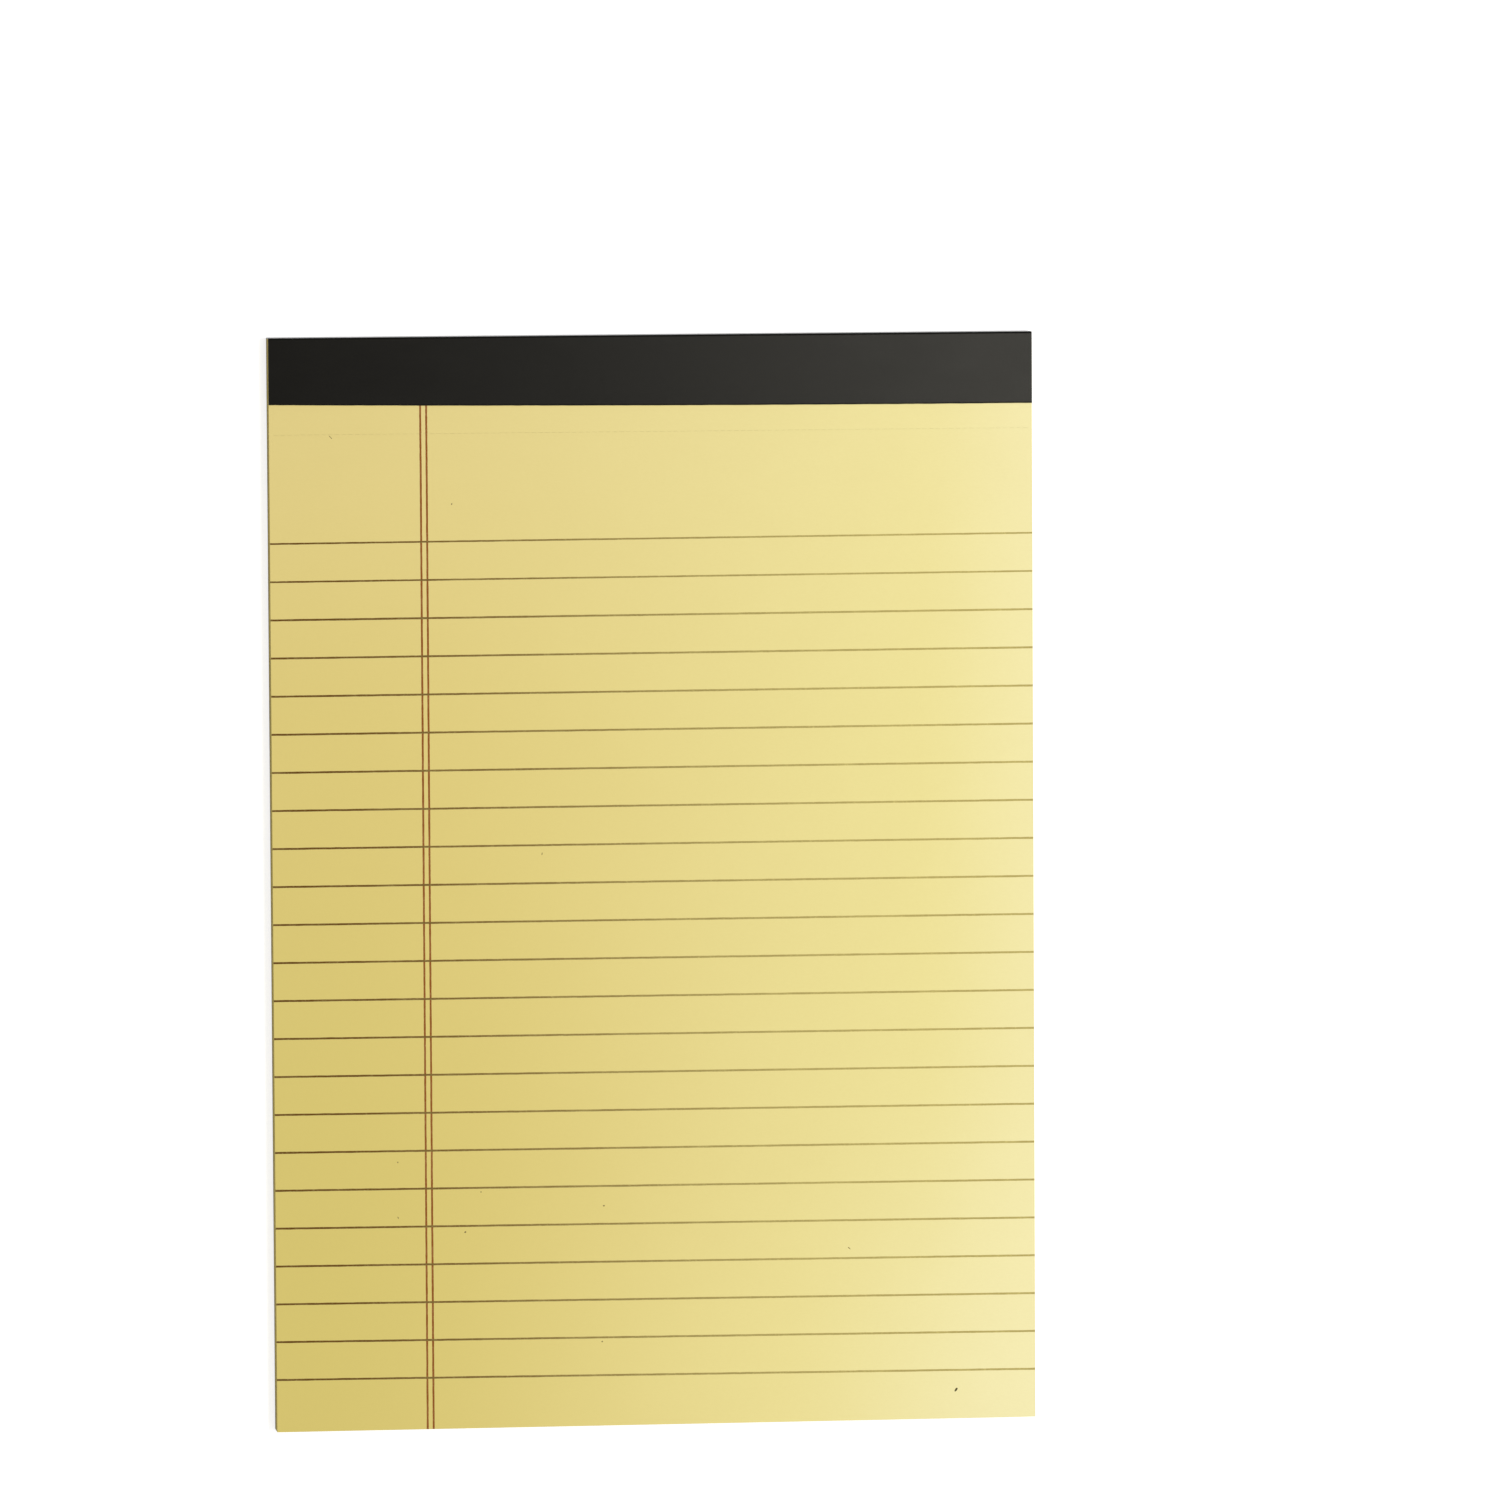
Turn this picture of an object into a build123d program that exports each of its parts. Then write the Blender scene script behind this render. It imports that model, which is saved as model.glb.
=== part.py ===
from build123d import *
import os

# A ruled writing pad with a taped head.
# Fifty ruled sheets lie on a stiff backing board. Two wire stitches hold them at the head, and a
# strip of tape is folded over the head to hide the stitches. A line of slits under the tape lets
# each sheet be torn off. Millimetres, +Z up out of the front page, +Y towards the head.
# The origin is under the middle of the pad, on the surface that it lies on.

# Pad, over everything
pad_width = 147.0
pad_height = 210.0

# Sheets and board
sheet_count = 50
sheet_thickness = 0.09
board_thickness = 0.8

# Tape, folded over the head. It was laid slightly out of square on the front.
tape_thickness = 0.15
tape_front_left = 12.9
tape_front_right = 13.9
tape_back = 15.0
tape_bend_inside = 0.2

# Squeeze at the head, where stitches and tape hold the sheets tight
sheet_nip = 0.25
board_nip = 0.1
nip_from_head = 14.2
swell_run = 14.0
swell_steps = 4

# Gaps that show between the sheet edges
gap_height = 0.02
gap_depth = 0.05
glued_at_head = 0.6

# Slits of the tear line
tear_from_head = 18.5
slit_pitch = 1.3
slit_length = 0.9
slit_width = 0.06

# Ruling, printed slightly out of square with the trimmed edges
rule_count = 23
rule_from_head = 39.0
rule_pitch = 7.33
rule_width = 0.32
rule_skew = -0.2
margins_from_left = (29.0, 30.15)
margin_width = 0.32
ink_thickness = 0.02

# Wire stitches, of flat wire
wire_width = 0.6
wire_thickness = 0.45
wire_bend_inside = 0.4
stitch_width = 12.0
stitch_from_head = 6.5
stitch_spacing = 76.0
clinch_length = 4.5

# Places worked out from the sizes above
left = -pad_width / 2
right = pad_width / 2
head = pad_height / 2
foot = -head
stack_head = head - tape_thickness
board_bottom = tape_thickness - board_nip
board_top = board_bottom + board_thickness
stack_height = sheet_count * sheet_thickness
nipped_top = board_top + stack_height - sheet_nip
page_top = board_top + stack_height
nip_edge = head - nip_from_head
clear = 1.0


def smooth_step(t):
    """Goes from 0 to 1 with a level start and end, and stays there outside that."""
    t = min(max(t, 0.0), 1.0)
    return t * t * (3 - 2 * t)


def level_in_stack(y, share):
    """Height at y of the level that has this share of the sheets under it."""
    swell = smooth_step((nip_edge - y) / swell_run)
    return board_top + share * (stack_height - sheet_nip * (1 - swell))


def stations(start, end):
    """Places along Y, from start to end, that follow the swelling below the tape."""
    swelling = [nip_edge - swell_run * step / swell_steps for step in range(swell_steps, -1, -1)]
    return [start] + [y for y in swelling if start < y < end] + [end]


def band(start, end, low, high):
    """Outline of a layer, seen from the side, between two height functions of y."""
    lower = [(y, low(y)) for y in stations(start, end)]
    upper = [(y, high(y)) for y in reversed(stations(start, end))]
    return Plane.YZ * make_face(Polyline(*lower, *upper, close=True))


def across(outline, width, middle=0.0):
    """A side outline drawn out across the pad."""
    return Pos(middle, 0, 0) * extrude(outline, amount=width / 2, both=True)


def block(low, high):
    """A box between two opposite corners."""
    size = [b - a for a, b in zip(low, high)]
    return Pos(*low) * Box(*size, align=(Align.MIN, Align.MIN, Align.MIN))


# Wire stitches: a crown under the tape, two legs through the sheets and board, and clinched ends
def stitch(middle, outer_bend):
    """One stitch, centred on this x, with its crown flush with the sheets and its ends with the board."""
    height = nipped_top - tape_thickness
    inside = Rectangle(stitch_width - 2 * wire_thickness, height - 2 * wire_thickness)
    outside = Rectangle(stitch_width, height)
    if outer_bend:
        outside = fillet(outside.vertices(), outer_bend)
    between_ends = Rectangle(stitch_width - 2 * clinch_length, wire_thickness)
    outline = outside - fillet(inside.vertices(), wire_bend_inside)
    outline -= Pos(0, (wire_thickness - height) / 2) * between_ends
    place = Pos(middle, head - stitch_from_head, tape_thickness + height / 2)
    return extrude(place * (Plane.XZ * outline), amount=wire_width / 2, both=True)


stitch_middles = (-stitch_spacing / 2, stitch_spacing / 2)
stitches = [stitch(x, wire_bend_inside + wire_thickness) for x in stitch_middles]
stitch_beds = [stitch(x, 0) for x in stitch_middles]


# Sheets: one bound block, thinner where it is nipped, with the gaps between sheet edges
def sheet_gaps():
    """Thin slots round the left, foot and right edges, one between each sheet and the next."""
    end = stack_head - glued_at_head
    inside = block((left + gap_depth, foot + gap_depth, 0), (right - gap_depth, head, page_top + clear))
    slots = []
    for sheet in range(1, sheet_count):
        share = sheet / sheet_count
        slot = band(
            foot - clear,
            end,
            lambda y: level_in_stack(y, share) - gap_height / 2,
            lambda y: level_in_stack(y, share) + gap_height / 2,
        )
        slots.append(across(slot, pad_width + clear) - inside)
    return slots


def tear_line():
    """The slits of the tear line, which go through every sheet but not the board."""
    count = int((pad_width - slit_length) / slit_pitch)
    first = -slit_pitch * (count - 1) / 2
    y = head - tear_from_head
    depth = page_top + clear - board_top
    slit = Box(slit_length, slit_width, depth, align=(Align.CENTER, Align.CENTER, Align.MIN))
    return [Pos(first + slit_pitch * k, y, board_top) * slit for k in range(count)]


slits = tear_line()
stack_outline = band(foot, stack_head, lambda y: board_top, lambda y: level_in_stack(y, 1))
page_block = across(stack_outline, pad_width)
head_corner = page_block.edges().filter_by(Axis.X).group_by(Axis.Y)[-1].sort_by(Axis.Z)[-1]
page_block = fillet(head_corner, tape_bend_inside)
page_block -= sheet_gaps()
page_block -= slits
page_block -= stitch_beds

# Backing board: stiff greyboard, crushed a little where the tape is folded under it
tape_back_edge = head - tape_back
board_outline = Polyline(
    (foot, board_bottom),
    (tape_back_edge - 2 * board_nip, board_bottom),
    (tape_back_edge - board_nip, tape_thickness),
    (stack_head, tape_thickness),
    (stack_head, board_top),
    (foot, board_top),
    close=True,
)
backing_board = across(Plane.YZ * make_face(board_outline), pad_width)
board_corner = backing_board.edges().filter_by(Axis.X).group_by(Axis.Y)[-1].sort_by(Axis.Z)[0]
backing_board = fillet(board_corner, tape_bend_inside)
backing_board -= stitch_beds

# Binding tape: one strip of coated paper, folded over the head from the front to the back
tape_top = nipped_top + tape_thickness
tape_reach = max(tape_front_left, tape_front_right, tape_back)


def fold(inset, bend):
    """Side outline of the folded head, as a block with two rounded corners at the head."""
    low = (head - tape_reach - clear, inset)
    high = (head - inset, tape_top - inset)
    corners = Polyline(low, (high[0], low[1]), high, (low[0], high[1]), close=True)
    outline = make_face(corners)
    return Plane.YZ * fillet(outline.vertices().group_by(Axis.X)[-1], bend)


def beyond_flap(left_depth, right_depth, low_z, high_z):
    """What is cut off a flap past its free edge."""
    edge = Polyline(
        (left - clear, head - left_depth),
        (right + clear, head - right_depth),
        (right + clear, foot),
        (left - clear, foot),
        close=True,
    )
    return Pos(0, 0, low_z) * extrude(make_face(edge), amount=high_z - low_z)


outside_bend = tape_bend_inside + tape_thickness
binding_tape = across(fold(0, outside_bend) - fold(tape_thickness, tape_bend_inside), pad_width)
binding_tape -= beyond_flap(tape_front_left, tape_front_right, board_top, tape_top + clear)
binding_tape -= beyond_flap(tape_back, tape_back, -clear, board_top)

# Ruling: dark rules from edge to edge, and a pair of margin rules from the tape to the foot
page_edge = block((left, foot, page_top), (right, head, page_top + ink_thickness))
front_flap = across(fold(0, outside_bend), pad_width + clear)
front_flap -= beyond_flap(tape_front_left, tape_front_right, -clear, tape_top + clear)


def rule(number):
    """One rule, trimmed off at the edges of the page."""
    y = head - rule_from_head - rule_pitch * number
    strip = extrude(Rectangle(pad_width + 2 * clear, rule_width), amount=ink_thickness)
    return Pos(0, y, page_top) * Rot(0, 0, rule_skew) * strip & page_edge


def margin_rule(from_left):
    """One margin rule. It follows the page down to the tape."""
    outline = band(
        foot,
        stack_head,
        lambda y: level_in_stack(y, 1),
        lambda y: level_in_stack(y, 1) + ink_thickness,
    )
    return across(outline, margin_width, left + from_left) - front_flap - slits


rules = [rule(number) for number in range(rule_count)]
margin_rules = [margin_rule(x) - rules for x in margins_from_left]

nodes = {
    "page_block": page_block,
    "backing_board": backing_board,
    "binding_tape": binding_tape,
    "wire_stitch_left": stitches[0],
    "wire_stitch_right": stitches[1],
    "ruled_lines": rules,
    "margin_lines": margin_rules,
}

os.makedirs("parts", exist_ok=True)
for name, shape in nodes.items():
    if isinstance(shape, list):
        shape = Compound([solid for piece in shape for solid in piece.solids()])
    export_step(shape, f"parts/{name}.step")
    print(name, round(shape.volume, 2), "mm3")
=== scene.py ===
import math

import bmesh
import bpy
import numpy as np
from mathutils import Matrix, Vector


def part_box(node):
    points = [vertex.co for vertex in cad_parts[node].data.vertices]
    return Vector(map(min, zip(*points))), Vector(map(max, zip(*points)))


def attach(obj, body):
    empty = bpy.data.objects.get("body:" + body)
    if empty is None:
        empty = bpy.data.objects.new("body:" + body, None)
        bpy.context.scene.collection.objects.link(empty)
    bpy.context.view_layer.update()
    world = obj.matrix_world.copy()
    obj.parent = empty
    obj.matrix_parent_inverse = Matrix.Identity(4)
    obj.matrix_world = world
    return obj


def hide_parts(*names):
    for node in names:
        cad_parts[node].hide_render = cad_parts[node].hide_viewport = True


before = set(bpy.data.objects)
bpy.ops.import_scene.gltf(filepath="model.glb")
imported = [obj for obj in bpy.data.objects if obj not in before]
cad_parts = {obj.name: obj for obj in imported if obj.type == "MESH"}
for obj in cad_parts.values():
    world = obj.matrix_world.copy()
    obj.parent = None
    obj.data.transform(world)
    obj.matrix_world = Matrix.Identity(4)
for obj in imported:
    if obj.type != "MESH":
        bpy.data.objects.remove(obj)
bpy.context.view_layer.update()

# Backing board
# Greyboard, pressed from pulped waste paper and trimmed in one stroke with the sheets. Flecks and
# short fibres show on its back, and layers on its cut edges. It is crushed where the tape goes under.
mm = 0.001
board_grey = (132, 122, 106)
board_pale = (170, 160, 142)
board_fleck = (70, 62, 56)
board_roughness = 0.86


class Value:
    """A value in a material, held by its socket. Sums and products of it add their Math nodes."""

    def __init__(self, finish, output):
        self.finish = finish
        self.output = output

    def worked_out(self, operation, first, second):
        return self.finish.node("Math", {"operation": operation}, {0: first, 1: second})

    def __add__(self, other):
        return self.worked_out("ADD", self, other)

    def __radd__(self, other):
        return self.worked_out("ADD", other, self)

    def __mul__(self, other):
        return self.worked_out("MULTIPLY", self, other)

    def __rmul__(self, other):
        return self.worked_out("MULTIPLY", other, self)


class Finish:
    """The nodes of a material, or of the room's light."""

    def __init__(self, owner):
        self.owner = owner
        self.owner.use_nodes = True
        self.tree = owner.node_tree
        self.tree.nodes.clear()

    def node(self, kind, settings, inputs, output=0):
        """Adds a node of this kind. Its settings come first, then its sockets' values or links."""
        made = self.tree.nodes.new("ShaderNode" + kind)
        for name, value in settings.items():
            setattr(made, name, value)
        for name, value in inputs.items():
            if isinstance(value, Value):
                self.tree.links.new(value.output, made.inputs[name])
            else:
                made.inputs[name].default_value = value
        return Value(self, made.outputs[output]) if made.outputs else None

    def place(self, axis=None):
        """The piece's own coordinates in metres, or one of them."""
        where = self.node("TexCoord", {}, {}, "Object")
        return where if axis is None else self.node("SeparateXYZ", {}, {0: where}, axis)

    def grain(self, size, detail=2.0, rough=0.5):
        """Noise from 0 to 1. size is how long a grain is along X, Y and Z, in millimetres."""
        scale = tuple(1 / (length * mm) for length in size)
        where = self.node("VectorMath", {"operation": "MULTIPLY"}, {0: self.place(), 1: scale})
        sockets = {"Vector": where, "Scale": 1.0, "Detail": detail, "Roughness": rough}
        return self.node("TexNoise", {}, sockets, "Fac")

    def ramp(self, value, start, end):
        """A smooth step from 0 where value is start to 1 where it is end."""
        sockets = {"Value": value, "From Min": start, "From Max": end}
        return self.node("MapRange", {"interpolation_type": "SMOOTHSTEP"}, sockets)

    def blend(self, share, first, second):
        """The first colour where share is 0, and the second where it is 1."""
        first, second = (c if isinstance(c, Value) else tint(*c) for c in (first, second))
        return self.node("Mix", {"data_type": "RGBA"}, {0: share, 6: first, 7: second}, 2)

    def relief(self, height, depth):
        """Normals of a surface that is raised by depth, in millimetres, where height is 1."""
        return self.node("Bump", {}, {"Height": height, "Distance": depth * mm}, "Normal")

    def surface(self, sockets):
        """Ends a material with one surface that has these sockets."""
        made = self.node("BsdfPrincipled", {}, sockets)
        self.node("OutputMaterial", {}, {"Surface": made})
        return self.owner


def tint(red, green, blue):
    """A colour from 0 to 255, as a screen takes it, turned into light by the screen's power curve."""
    return *(((c / 255 + 0.055) / 1.055) ** 2.4 for c in (red, green, blue)), 1.0


def board_finish():
    """Grey pulp with pale fibres and dark flecks, in layers where it is cut."""
    board = Finish(bpy.data.materials.new("greyboard"))
    long_fibres = board.ramp(board.grain((2.2, 0.35, 0.12), 3.0), 0.52, 0.74)
    cross_fibres = board.ramp(board.grain((0.3, 1.8, 0.12), 3.0), 0.55, 0.78)
    clouds = board.grain((9.0, 9.0, 0.2), 2.0)
    flecks = board.ramp(board.grain((0.55, 0.4, 0.15), 1.0), 0.70, 0.76)
    pale_share = clouds * 0.35 + long_fibres * 0.45 + cross_fibres * 0.35
    pulp = board.blend(pale_share, board_grey, board_pale)
    fuzz = board.grain((0.25, 0.2, 0.06), 3.0)
    return board.surface({
        "Base Color": board.blend(flecks * 0.75, pulp, board_fleck),
        "Roughness": board_roughness,
        "Specular IOR Level": 0.25,
        "Normal": board.relief(fuzz + long_fibres * 0.5, 0.03),
    })


def give_finish(piece, material):
    """Puts one material over a whole piece."""
    piece.data.materials.clear()
    piece.data.materials.append(material)


give_finish(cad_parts["backing_board"], board_finish())

# Sheets
# Fifty sheets of uncoated yellow paper. Stitches and tape press them thin at the head, and they
# swell to their loose thickness below it. A knife has cut the slits of a tear line into each sheet.
page_low, page_high = (np.array(corner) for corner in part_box("page_block"))
page_left, page_foot, board_top = page_low
page_right, page_head, page_top = page_high
pad_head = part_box("binding_tape")[1].y
sheet_count = 50
sheet_gap = 0.12
sheet_nip = 0.25 * mm
nip_edge = pad_head - 14.2 * mm
swell_run = 14.0 * mm
swell_end = nip_edge - swell_run
cockle = 0.08 * mm
cockle_waves = [(113 * mm, 231 * mm, 0.6), (187 * mm, -91 * mm, 2.1)]
trim_play = 0.02 * mm
fold_inside = 0.2 * mm
loose_sheets = 6
tear_line = pad_head - 18.5 * mm
slit_pitch = 1.3 * mm
slit_length = 0.9 * mm
slit_width = 0.02 * mm
top_page_cells, top_swell_cells = 44, 14
page_cells, swell_cells, nip_cells = 11, 7, 3
stack_cells = 80
edge_corners = [0.0, 0.2, 0.8]
edge_insets = [2.2, 0.0, 0.0]
sheet_play, side_waver = 1.6, 0.3
sharp_edge = math.radians(30)
same_point = 1e-4 * mm
page_span = (float(page_left), float(page_right))
# Painted light: the page's yellow is painted paler towards the right and the right of the foot, a painted
# sheen, and deeper at the left of the foot, a painted shade.
paper_left, paper_right_sheen = (231, 210, 129), (237, 225, 154)
painted_sheen_right, paler_head, paler_foot = (240, 230, 171), (253, 240, 194), (253, 240, 165)
painted_shade_left_foot, painted_sheen_right_foot = (223, 204, 116), (245, 236, 182)
paper_fibre = (208, 188, 108)
edge_deep, edge_pale, edge_scored = (196, 175, 98), (232, 217, 144), (184, 164, 90)
sheet_draw = np.random.default_rng(5)


def swelling(y):
    """0 in the nip and 1 in the loose page, by a cubic step that starts and ends level."""
    t = np.clip((nip_edge - y) / swell_run, 0, 1)
    return t * t * (3 - 2 * t)


def cockling(x, y):
    """How deep the page dips, from 0 to 1: a half, and a quarter of each of two long sine waves.
    A wave is given by its length along X and along Y, negative where it slants the other way, and by
    where it starts, in radians."""
    waves = [np.sin(2 * np.pi * (x / across + y / down) + start) for across, down, start in cockle_waves]
    return 0.5 + 0.25 * sum(waves)


def level(x, y, share):
    """Height of the level that has this share of the sheets under it: the board's top, and that
    share of the stack's height, which is less by the nip where it hasn't swollen, and by the dips."""
    loose = swelling(y)
    height = page_top - board_top - sheet_nip * (1 - loose) - cockle * cockling(x, y) * loose
    return board_top + share * height


def slab(x, y, low, high, present=None):
    """Points and faces of a thin closed sheet over a grid of places x, y, from its low to its high
    side. Where a cell isn't present it is cut through, and a wall stands wherever a cell has no
    neighbour, so the sheet is closed round its outside and round its cuts."""
    if present is None:
        present = np.ones((x.shape[0] - 1, x.shape[1] - 1), bool)
    points = np.concatenate([np.stack([x, y, z], -1).reshape(-1, 3) for z in (high, low)])
    number, below = np.arange(x.size).reshape(x.shape), x.size
    a, b, c, d = number[:-1, :-1], number[1:, :-1], number[1:, 1:], number[:-1, 1:]
    faces = [np.stack([a, b, c, d], -1)[present], np.stack([a, d, c, b], -1)[present] + below]
    around = np.pad(present, 1)
    left_cell, right_cell = around[:-1, 1:-1], around[1:, 1:-1]
    start, end = number[:, :-1], number[:, 1:]
    walls = np.stack([start, end, end + below, start + below], -1)
    faces += [walls[right_cell & ~left_cell], walls[left_cell & ~right_cell][:, ::-1]]
    lower_cell, upper_cell = around[1:-1, :-1], around[1:-1, 1:]
    start, end = number[:-1, :], number[1:, :]
    walls = np.stack([end, start, start + below, end + below], -1)
    faces += [walls[upper_cell & ~lower_cell], walls[lower_cell & ~upper_cell][:, ::-1]]
    return points, np.concatenate(faces)


def joined(parts):
    """Points and faces of several parts as one list of each."""
    starts = np.cumsum([0] + [len(points) for points, faces in parts])
    faces = [faces + start for (points, faces), start in zip(parts, starts)]
    return np.concatenate([points for points, faces in parts]), np.concatenate(faces)


def make_piece(name, points, faces, material, slot, node=None):
    """A piece from points and faces, with its material, in place of a node if one is named. slot is not used.
    Points that fall on each other become one."""
    mesh = bpy.data.meshes.new(name)
    mesh.from_pydata(points.tolist(), [], faces if isinstance(faces, list) else faces.tolist())
    merged = bmesh.new()
    merged.from_mesh(mesh)
    bmesh.ops.remove_doubles(merged, verts=merged.verts, dist=same_point)
    merged.to_mesh(mesh)
    merged.free()
    mesh.shade_smooth()
    mesh.set_sharp_from_angle(angle=sharp_edge)
    mesh.materials.append(material)
    piece = bpy.data.objects.new(name, mesh)
    bpy.context.scene.collection.objects.link(piece)
    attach(piece, "root")
    if node:
        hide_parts(node)
    return piece


def sheet_rows(in_page, in_swelling):
    """Rows of a sheet: even ones down the page, closer ones in the swelling and the nip, and one on
    each side of the tear line's slits."""
    slit_sides = [tear_line - slit_width / 2, tear_line + slit_width / 2]
    return np.unique(np.concatenate([
        np.linspace(page_foot, swell_end, in_page + 1),
        np.linspace(swell_end, nip_edge, in_swelling + 1),
        np.linspace(nip_edge, page_head, nip_cells + 1),
        slit_sides,
    ]))


def top_sheets():
    """The top sheets, each a slab from one level of the stack to just above the next, out of line
    by a hair's breadth. Columns run at the ends of the slits, so each slit is one cell of the grid.
    The head of a sheet stands back where the tape bends round it, by the bend's arc."""
    count = int((page_right - page_left - slit_length) / slit_pitch)
    middles = slit_pitch * (np.arange(count) - (count - 1) / 2)
    ends = (middles[:, None] + slit_length * np.array([-0.5, 0.5])).ravel()
    columns = np.concatenate([[page_left + trim_play], ends, [page_right - trim_play]])
    sheets = []
    for number in range(loose_sheets):
        rows = sheet_rows(page_cells, swell_cells) if number else sheet_rows(top_page_cells, top_swell_cells)
        whole = np.ones((len(columns) - 1, len(rows) - 1), bool)
        whole[1:-1:2, np.searchsorted(rows, tear_line) - 1] = False
        depth = number * (page_top - board_top) / sheet_count
        stands_back = fold_inside - math.sqrt(fold_inside**2 - max(fold_inside - depth, 0) ** 2)
        rows[0] += trim_play * sheet_draw.uniform(0, 1)
        rows[-1] -= stands_back
        x, y = np.meshgrid(columns + trim_play * sheet_draw.uniform(-1, 1), rows, indexing="ij")
        high = level(x, y, 1 - number / sheet_count)
        low = level(x, y, 1 - (number + 1 - sheet_gap) / sheet_count)
        sheets.append(slab(x, y, low, high, whole))
    return joined(sheets)


def stack_below():
    """The sheets under the top ones, as one closed block. u and v run from 0 to 1 across the pad
    and up it. The edge of each sheet is three points up the side: in the groove under it, and at
    its lower and upper corner. Its inset is the sheet's own, with a slow sine along the side."""
    sheets = sheet_count - loose_sheets
    u = v = np.linspace(0, 1, stack_cells + 1)
    corners = (np.arange(sheets)[:, None] + edge_corners).ravel()
    shares = np.append(corners, sheets) / sheet_count
    in_groove = np.append(np.tile(edge_insets, sheets), edge_insets[0])
    own = np.repeat(sheet_draw.uniform(0, sheet_play, (3, sheets)), 3, axis=1)
    inset = trim_play * (np.concatenate([own, own[:, -1:]], axis=1) + in_groove)

    def places(at_u, at_v, row):
        """Points at these u and v on one level, each as far between the two sides, and between the
        foot and the head, as u and v say."""
        left_sine, right_sine = (np.sin(2 * np.pi * (waves * at_v + 0.3)) for waves in (3.0, 3.7))
        foot_sine = np.sin(2 * np.pi * (2.0 * at_u + 0.3))
        low_x = page_left + inset[0, row] + side_waver * trim_play * (1 + left_sine)
        high_x = page_right - inset[2, row] - side_waver * trim_play * (1 + right_sine)
        low_y = page_foot + inset[1, row] + side_waver * trim_play * (1 + foot_sine)
        x = low_x + (high_x - low_x) * at_u
        y = low_y + (page_head - low_y) * at_v
        return np.stack([x, y, level(x, y, shares[row])], -1)

    still = np.zeros(stack_cells)
    ring_u = np.concatenate([still, u[:-1], still + 1, u[:0:-1]])
    ring_v = np.concatenate([v[:0:-1], still, v[:-1], still + 1])
    wall = np.stack([places(ring_u, ring_v, row) for row in range(len(shares))])
    number = np.arange(wall[..., 0].size).reshape(wall.shape[:2])
    after = np.roll(number, -1, axis=1)
    sides = np.stack([number[:-1], after[:-1], after[1:], number[1:]], -1).reshape(-1, 4)
    grid_u, grid_v = np.meshgrid(u, v, indexing="ij")
    number = np.arange(grid_u.size).reshape(grid_u.shape)
    a, b, c, d = number[:-1, :-1], number[1:, :-1], number[1:, 1:], number[:-1, 1:]
    lid = np.stack([a, b, c, d], -1).reshape(-1, 4)
    top, bottom = (places(grid_u, grid_v, row).reshape(-1, 3) for row in (-1, 0))
    return joined([(wall.reshape(-1, 3), sides), (top, lid), (bottom, lid[:, ::-1])])


def blade_scores(finish):
    """Fine upright scores that the blade leaves on the side of the stack, from 0 to 1."""
    return finish.grain((0.5, 0.5, 6.0), 3.0, 0.6)


def cut_edges(finish):
    """Colour of the stock where the blade has cut it: sheets and lifts of sheets have their own
    depth of yellow, and the scores run up the stack."""
    sheets = finish.ramp(finish.grain((60.0, 60.0, 0.09), 1.0), 0.3, 0.7)
    lifts = finish.ramp(finish.grain((90.0, 90.0, 0.5), 1.0), 0.35, 0.65)
    stock = finish.blend(sheets * 0.5 + lifts * 0.5, edge_deep, edge_pale)
    return finish.blend(blade_scores(finish) * 0.25, stock, edge_scored)


def page_finish():
    """Uncoated yellow stock: soft clouds and fibres in its colour, and a fine tooth. The yellow is
    painted paler from the right edge inwards, a painted sheen, and it is a little paler at the head
    and the foot. Painted shade makes it deepest at the left of the foot. Where a sheet's surface is
    upright, it is a cut edge."""
    page = Finish(bpy.data.materials.new("yellow_paper"))
    x, y = page.place("X"), page.place("Y")
    # Painted sheen makes the page paler to the right and to the right of the foot, and painted shade makes it
    # deeper at the left of the foot. The head and the foot are a little paler.
    stock = page.blend(page.ramp(x, *page_span), paper_left, paper_right_sheen)
    for share, colour in [
        (page.ramp(x, 50 * mm, 78 * mm), painted_sheen_right),
        (page.ramp(y, 20 * mm, 100 * mm) * 0.15, paler_head),
        (page.ramp(y, -50 * mm, -105 * mm) * 0.22, paler_foot),
        (page.ramp(x, 25 * mm, -73.5 * mm) * page.ramp(y, 80 * mm, -80 * mm), painted_shade_left_foot),
        (page.ramp(x, 20 * mm, 80 * mm) * page.ramp(y, -20 * mm, -110 * mm), painted_sheen_right_foot),
    ]:
        stock = page.blend(share, stock, colour)
    clouds = page.grain((14.0, 10.0, 10.0), 3.0, 0.6)
    fibres = page.grain((0.9, 0.35, 0.35), 3.0, 0.6)
    tooth = page.grain((0.16, 0.12, 0.12), 3.0, 0.6)
    stock = page.blend(clouds * 0.10 + fibres * 0.12, stock, paper_fibre)
    facing_up = page.node("SeparateXYZ", {}, {0: page.node("TexCoord", {}, {}, "Normal")}, "Z")
    upright = page.ramp(facing_up * facing_up, 0.6, 0.2)
    return page.surface({
        "Base Color": page.blend(upright, stock, cut_edges(page)),
        "Roughness": 0.78,
        "Specular IOR Level": 0.22,
        "Normal": page.relief(tooth * 0.6 + fibres * 0.4, 0.012),
    })


def edge_finish():
    """The same stock on the sides of the stack, where only cut edges show."""
    edge = Finish(bpy.data.materials.new("sheet_edges"))
    return edge.surface({
        "Base Color": cut_edges(edge),
        "Roughness": 0.85,
        "Specular IOR Level": 0.2,
        "Normal": edge.relief(blade_scores(edge), 0.01),
    })


make_piece("top_sheets", *top_sheets(), page_finish(), "yellow_paper", "page_block")
make_piece("stack_below", *stack_below(), edge_finish(), "yellow_paper", "page_block")

# Wire stitches
# Two stitches of flat galvanised wire, driven through the sheets and the board from the front and
# clinched at the back. The tape covers their crowns and their clinched ends.
zinc_bright, zinc_dull = (196, 198, 200), (150, 152, 154)


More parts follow.
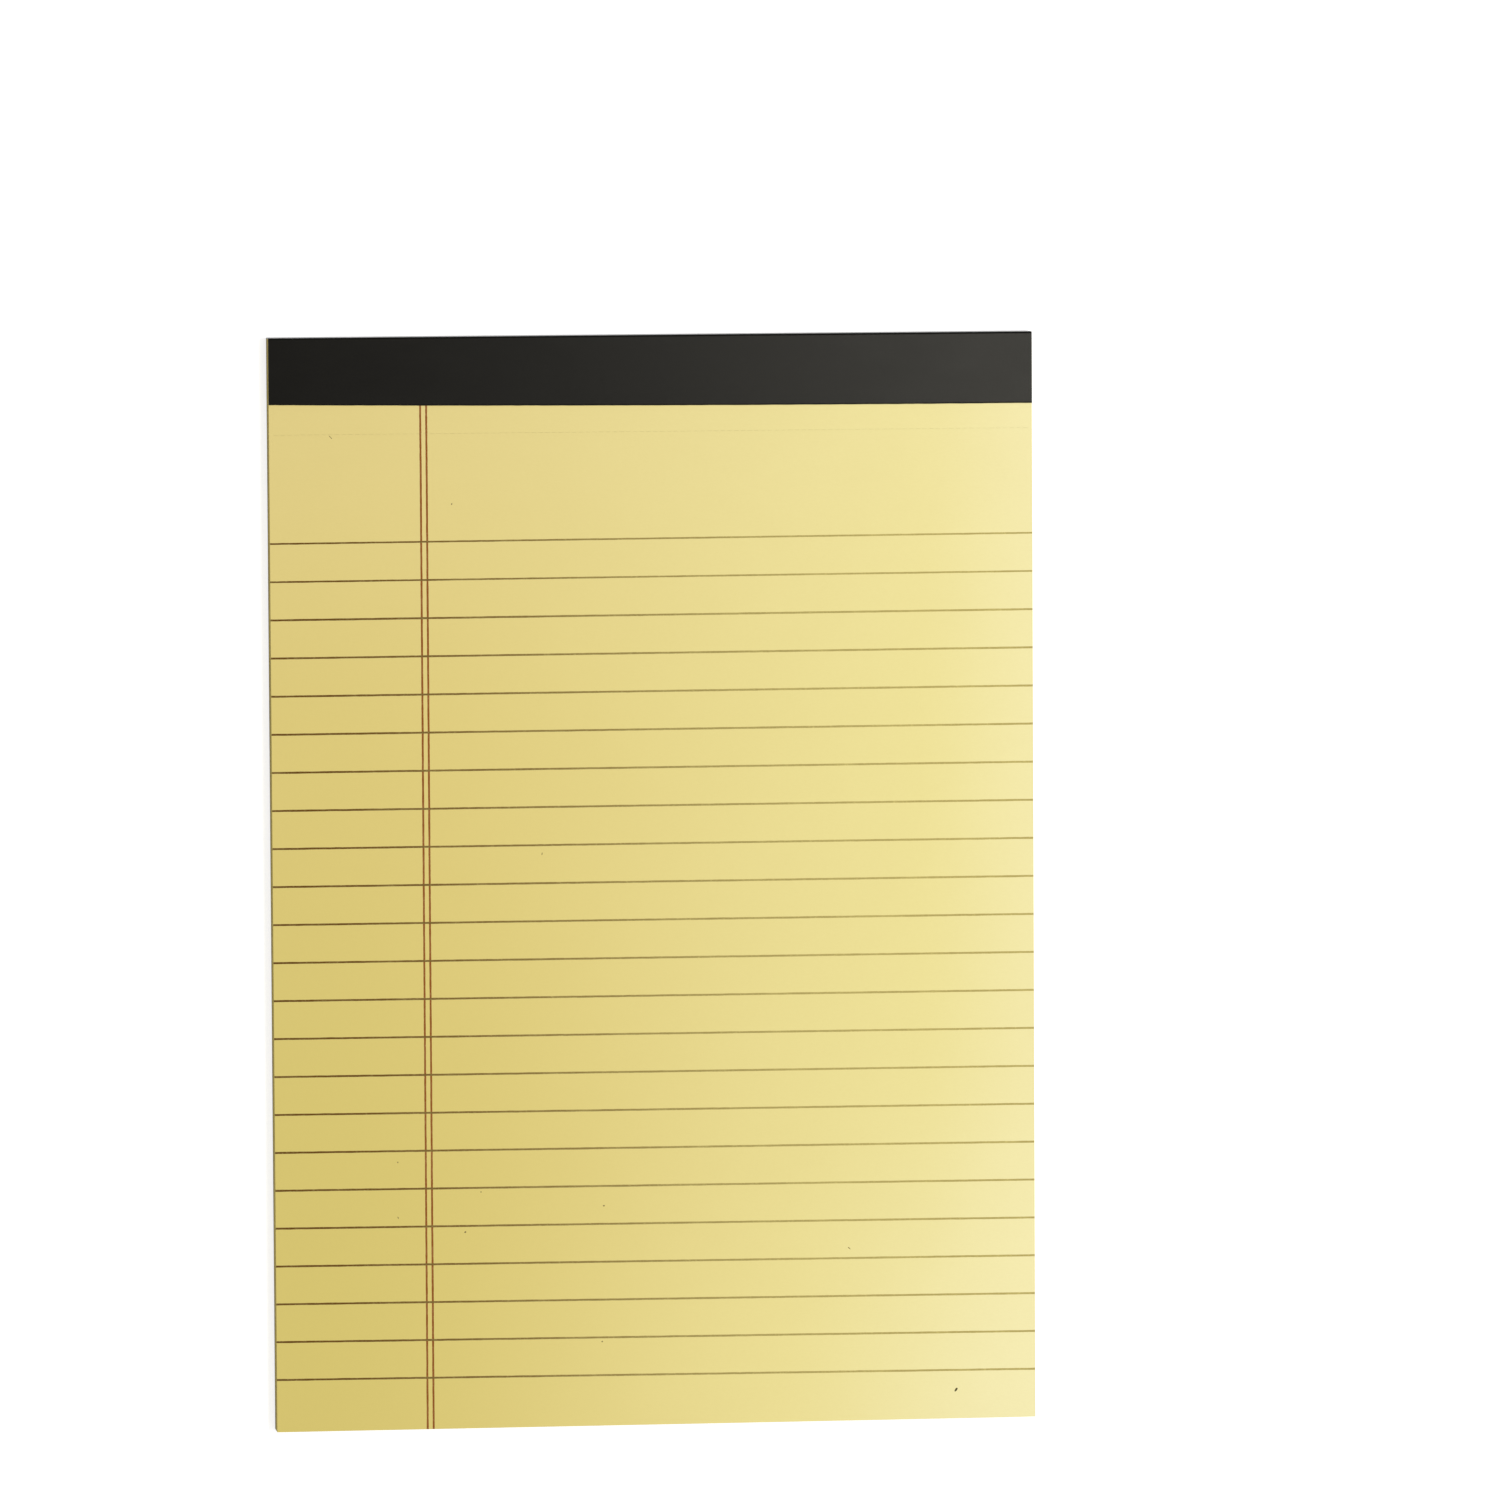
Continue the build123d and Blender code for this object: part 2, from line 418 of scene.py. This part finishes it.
def wire_finish():
    """Drawn wire under zinc, with streaks along its length and a dull bloom."""
    wire = Finish(bpy.data.materials.new("stitch_wire"))
    streaks = wire.grain((3.0, 0.08, 3.0), 2.0)
    bloom = wire.grain((1.2, 1.2, 1.2), 3.0)
    return wire.surface({
        "Base Color": wire.blend(bloom * 0.6, zinc_bright, zinc_dull),
        "Metallic": 1.0,
        "Roughness": 0.28 + 0.25 * bloom,
        "Normal": wire.relief(streaks, 0.01),
    })


drawn_wire = wire_finish()
for side in ("left", "right"):
    give_finish(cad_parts[f"wire_stitch_{side}"], drawn_wire)

# Ruling
# Dark rules from edge to edge and two red margin rules down the page, printed before trimming. The
# ink is a thin film, partly sunk into the paper, and its colour is painted paler towards the right
# as a painted sheen.
ink_sunk = 0.004 * mm
rule_film = 0.008 * mm
margin_film = 0.005 * mm
rule_count = 23
rule_from_head = 39.0 * mm
rule_pitch = 7.33 * mm
rule_width = 0.38 * mm
first_slope, last_slope = math.tan(math.radians(0.2)), math.tan(math.radians(-0.3))
margins_from_left = (29.0 * mm, 30.15 * mm)
margin_width = 0.38 * mm
ink_spread = 0.10
ink_sheen_full_at = 45 * mm
faint_rules, faint_width = 2, 0.88
ink_cells = 120
tape_front = (12.75 * mm, 13.5 * mm, 13.75 * mm)
ink_draw = np.random.default_rng(11)


def flap_edge(x):
    """Free edge of the tape's front flap: a parabola through its depths at left, middle and right."""
    t = (x - page_left) / (page_right - page_left)
    start, middle, end = tape_front
    bow = 4 * middle - 2 * (start + end)
    return pad_head - start - (end - start) * t - bow * t * (1 - t)


def ink_line(x, y, width, film, down_page=False):
    """A printed line along the places x, y, as a closed film. Each of its sides is half the width
    away, give or take a random share, because ink spreads along the fibres."""
    offset = width / 2 * np.array([-1, 1]) * (1 + ink_spread * ink_draw.uniform(-1, 1, (len(x), 2)))
    side_x = x[:, None] + down_page * offset
    side_y = y[:, None] + (not down_page) * offset
    if down_page:
        side_x, side_y = side_x.T, side_y.T
    surface = level(side_x, side_y, 1)
    return slab(side_x, side_y, surface - ink_sunk, surface + film)


def rules():
    """The dark rules, one under another, each straight across the page. Their slope goes evenly from
    the first rule, which rises to the right, to the last, which falls. The first ones took less ink."""
    x = np.linspace(page_left + 2 * trim_play, page_right - 2 * trim_play, ink_cells + 1)
    slopes = np.linspace(first_slope, last_slope, rule_count)
    lines = []
    for number in range(rule_count):
        y = pad_head - rule_from_head - rule_pitch * number + slopes[number] * x
        width = rule_width * (faint_width if number < faint_rules else 1)
        lines.append(ink_line(x, y, width, rule_film))
    return joined(lines)


def margin_rules():
    """The red rules, each from the foot to the slits of the tear line, and from there to the tape."""
    lines = []
    for x in (page_left + inward for inward in margins_from_left):
        below_slits = np.linspace(page_foot + trim_play, tear_line - slit_width, 2 * ink_cells + 1)
        above_slits = np.linspace(tear_line + slit_width, flap_edge(x), ink_cells // 6)
        lines += [ink_line(x + 0 * y, y, margin_width, margin_film, True) for y in (below_slits, above_slits)]
    return joined(lines)


def ink_finish(name, dark, paper_and_sheen, sheen_at_right):
    """Matt ink, soaked in unevenly, so that specks of paper show through it. The last argument is how
    far the colour goes towards the pale one at the right, a painted sheen."""
    ink = Finish(bpy.data.materials.new(name))
    soaked = ink.ramp(ink.grain((0.25, 0.18, 0.2), 2.0, 0.6), 0.5, 0.8)
    runs = ink.ramp(ink.grain((6.0, 3.0, 3.0), 2.0), 0.4, 0.8)
    # Painted sheen: the ink's colour is painted paler towards the right.
    ink_sheen_share = ink.ramp(ink.place("X"), float(page_left), ink_sheen_full_at)
    return ink.surface({
        "Base Color": ink.blend(ink_sheen_share * sheen_at_right + soaked * 0.3 + runs * 0.1, dark, paper_and_sheen),
        "Roughness": 0.7,
        "Specular IOR Level": 0.2,
    })


rule_ink = ink_finish("rule_ink", (98, 64, 10), (224, 209, 128), 0.5)
margin_ink = ink_finish("margin_ink", (140, 78, 22), (226, 190, 130), 0.1)
make_piece("rules", *rules(), rule_ink, "rule_ink", "ruled_lines")
make_piece("margin_rules", *margin_rules(), margin_ink, "margin_ink", "margin_lines")

# Marks on the page
# A slanted tick near the right of the foot, and faint specks and scratches, where ink or dirt has
# dried on the top sheet. Each is a flake that stands a hair above the paper. A mark is given by its
# middle x and y, its length and width, all in millimetres, and how many degrees it is turned.
tick = (58.0, -99.4, 0.95, 0.42, 55)
specks = [
    (-37.0, -67.0, 0.40, 0.30, 20),
    (-61.7, 86.0, 0.90, 0.12, -46),
    (-38.6, 73.0, 0.34, 0.20, 70),
    (-10.2, -62.4, 0.34, 0.28, 0),
    (-10.7, -88.7, 0.32, 0.24, 35),
    (37.3, -71.5, 0.65, 0.17, -43),
    (-33.9, -59.3, 0.28, 0.22, 10),
    (-21.7, 5.7, 0.50, 0.16, 83),
    (-49.9, -64.0, 0.50, 0.15, -70),
    (-49.9, -53.3, 0.28, 0.26, 0),
]
mark_height = 0.01 * mm
mark_points = 14
rim_play = 0.2
rim_level, middle_level, under_level = 0.1, 1.0, -0.5
mark_draw = np.random.default_rng(3)


def flake(x, y, length, width, turned):
    """A closed flake: an ellipse of this length and width in millimetres, turned by so many
    degrees, with a ragged rim on the paper, one point above its middle and one below."""
    angle = np.linspace(0, 2 * np.pi, mark_points, endpoint=False)
    ragged = 1 + rim_play * mark_draw.uniform(-1, 1, mark_points)
    along, across = length / 2 * np.cos(angle) * ragged, width / 2 * np.sin(angle) * ragged
    turn = math.radians(turned)
    rim_x = x + along * math.cos(turn) - across * math.sin(turn)
    rim_y = y + along * math.sin(turn) + across * math.cos(turn)
    point_x, point_y = np.append(rim_x, [x, x]) * mm, np.append(rim_y, [y, y]) * mm
    above = np.append(np.full(mark_points, rim_level), [middle_level, under_level]) * mark_height
    this = np.arange(mark_points)
    after = np.roll(this, -1)
    top, bottom = np.full_like(this, mark_points), np.full_like(this, mark_points + 1)
    faces = np.concatenate([np.stack([this, after, top], -1), np.stack([after, this, bottom], -1)])
    return np.stack([point_x, point_y, level(point_x, point_y, 1) + above], -1), faces


def mark_finish(name, dark, edge):
    """Dried ink, matt and blotchy."""
    mark = Finish(bpy.data.materials.new(name))
    blots = mark.grain((0.2, 0.2, 0.2), 2.0)
    return mark.surface({
        "Base Color": mark.blend(mark.ramp(blots, 0.3, 0.8), dark, edge),
        "Roughness": 0.6,
        "Specular IOR Level": 0.3,
    })


tick_ink = mark_finish("tick_ink", (58, 50, 16), (96, 86, 40))
speck_ink = mark_finish("speck_ink", (112, 96, 52), (146, 128, 74))
make_piece("ink_tick", *flake(*tick), tick_ink, "rule_ink")
make_piece("ink_specks", *joined([flake(*speck) for speck in specks]), speck_ink, "rule_ink")

# Binding tape
# One strip of black coated paper, glued round the head from the front to the back over the stitches
# and trimmed with the pad. Its front edge runs slightly out of square, and its face has a soft sheen.
tape_low, tape_high = (np.array(corner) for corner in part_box("binding_tape"))
tape_thickness = 0.15 * mm
tape_back = pad_head - 15.0 * mm
slitting_play = 0.02 * mm
tape_columns = 120
bend_points = 7
edge_points = 9
flat_hold = 0.25 * mm
tape_draw = np.random.default_rng(8)
tape_dark, tape_cloudy, tape_sheen = (11, 10, 8), (15, 14, 12), (255, 251, 238)


def with_held_flats(rings):
    """The same closed sections, with two more points on each long flat, one a quarter millimetre in
    from each of its ends on the line between them, so that the bends' shading stops there."""
    after = np.roll(rings, -1, axis=1)
    length = np.linalg.norm(after - rings, axis=-1, keepdims=True)
    step = flat_hold * (after - rings) / length
    flat = (length > 4 * flat_hold).all(axis=(0, 2))
    kept = np.stack([np.ones_like(flat), flat, flat], -1).ravel()
    return np.stack([rings, rings + step, after - step], 2).reshape(len(rings), -1, 3)[:, kept]


def tape_shell():
    """The folded strip: one closed section, carried across the pad. Its outer side goes along the
    front, round a quarter turn, down the head, round another, and along the back. Its inner side
    returns inside that, by the tape's thickness, and its two free edges are half rounds."""
    half = tape_thickness / 2
    quarter = np.linspace(0, np.pi / 2, bend_points)
    upward = np.stack([np.sin(quarter), np.cos(quarter)], -1)
    facing = np.concatenate([upward, (upward * [1, -1])[::-1]])
    to_centre = tape_thickness + fold_inside
    centre_heights = np.repeat([tape_high[2] - to_centre, tape_low[2] + to_centre], bend_points)
    centres = np.stack([np.full_like(centre_heights, pad_head - to_centre), centre_heights], -1)
    outer, inner = centres + to_centre * facing, centres + fold_inside * facing
    half_turn = np.linspace(np.pi, 0, edge_points)
    rounding = half * np.stack([1 - np.sin(half_turn), np.cos(half_turn)], -1)
    front_edge = rounding + [0, tape_high[2] - half]
    back_edge = rounding + [tape_back, tape_low[2] + half]
    y, z = np.concatenate([front_edge, outer, back_edge, inner[::-1]]).T
    on_front_edge = np.arange(len(y)) < edge_points
    x = np.linspace(tape_low[0], tape_high[0], tape_columns + 1)[:, None]
    front = flap_edge(x) + slitting_play * tape_draw.uniform(-1, 1, x.shape)
    rings = with_held_flats(np.stack(np.broadcast_arrays(x, y + on_front_edge * front, z), -1))
    number = np.arange(rings[..., 0].size).reshape(rings.shape[:2])
    after = np.roll(number, -1, axis=1)
    skin = np.stack([number[:-1], number[1:], after[1:], after[:-1]], -1).reshape(-1, 4)
    return rings.reshape(-1, 3), [*skin.tolist(), number[0].tolist(), number[-1, ::-1].tolist()]


def tape_finish():
    """Near-black paper under a thin satin coat, with a fine grain and faint cloudy patches."""
    tape = Finish(bpy.data.materials.new("dark_tape"))
    patches = tape.grain((11.0, 5.0, 5.0), 2.0)
    grain = tape.grain((0.22, 0.14, 0.14), 3.0, 0.6)
    return tape.surface({
        "Base Color": tape.blend(patches, tape_dark, tape_cloudy),
        "Roughness": 0.21 + 0.04 * patches,
        "Specular IOR Level": 0.052,
        "Specular Tint": tint(*tape_sheen),
        "Normal": tape.relief(grain, 0.004),
    })


make_piece("tape", *tape_shell(), tape_finish(), "dark_tape", "binding_tape")

# Table and light
# A white table. Soft lamps stand high and low on the right, so the page darkens a little to the left
# and the tape has its sheen on the right. The camera sees the table and the room as plain white.
# A lamp is given by its place, the length of its side and its power in watts.
room_light = 0.42
table_size = 4.0
table_glow = 0.66
high_lamp = ((0.38, 0.09, 1.50), 0.30, 8.0)
low_lamp = ((0.59, 0.04, 0.30), 0.30, 2.5)
camera_place = (-0.225, 0.178, 2.10)
camera_turn = (-4.112, -6.654, -0.304)
camera_lens = 264.2


def seen_directly(finish):
    """1 for what the camera sees, by itself or in a reflection or a clear body, and 0 for light."""
    kinds = ("Camera", "Glossy", "Transmission")
    camera_ray, glossy_ray, clear_ray = (finish.node("LightPath", {}, {}, f"Is {kind} Ray") for kind in kinds)
    return camera_ray + glossy_ray + clear_ray


def lamp(name, place, size, power, makes_sheen):
    """A square lamp that faces the middle of the pad. Satin surfaces mirror it where it makes sheen."""
    made = bpy.data.lights.new(name, "AREA")
    made.size = size
    made.energy = power
    stand = bpy.data.objects.new(name, made)
    stand.location = place
    stand.rotation_euler = (-stand.location).to_track_quat("-Z", "Y").to_euler()
    stand.visible_glossy = makes_sheen
    bpy.context.scene.collection.objects.link(stand)


room = Finish(bpy.data.worlds.new("room"))
brightness = room_light + (1 - room_light) * seen_directly(room)
backdrop = room.node("Background", {}, {"Color": tint(255, 255, 255), "Strength": brightness})
room.node("OutputWorld", {}, {"Surface": backdrop})
bpy.context.scene.world = room.owner

white_table = Finish(bpy.data.materials.new("white_table"))
white_table.surface({
    "Base Color": tint(231, 231, 231),
    "Roughness": 0.9,
    "Specular IOR Level": 0.1,
    "Emission Color": white_table.blend(seen_directly(white_table), (0, 0, 0), (255, 255, 255)),
    "Emission Strength": table_glow,
})
table_mesh = bpy.data.meshes.new("table")
corner_x, corner_y = table_size / 2 * np.array([[-1, 1, 1, -1], [-1, -1, 1, 1]])
table_mesh.from_pydata(np.stack([corner_x, corner_y, 0 * corner_x], -1).tolist(), [], [(0, 1, 2, 3)])
table_mesh.materials.append(white_table.owner)
table = bpy.data.objects.new("table", table_mesh)
bpy.context.scene.collection.objects.link(table)

lamp("high_lamp", *high_lamp, makes_sheen=True)
lamp("low_lamp", *low_lamp, makes_sheen=False)

lens = bpy.data.cameras.new("camera")
lens.lens = camera_lens
camera = bpy.data.objects.new("camera", lens)
camera.location = camera_place
camera.rotation_euler = [math.radians(angle) for angle in camera_turn]
bpy.context.scene.collection.objects.link(camera)
bpy.context.scene.camera = camera
bpy.context.scene.view_settings.view_transform = "Standard"
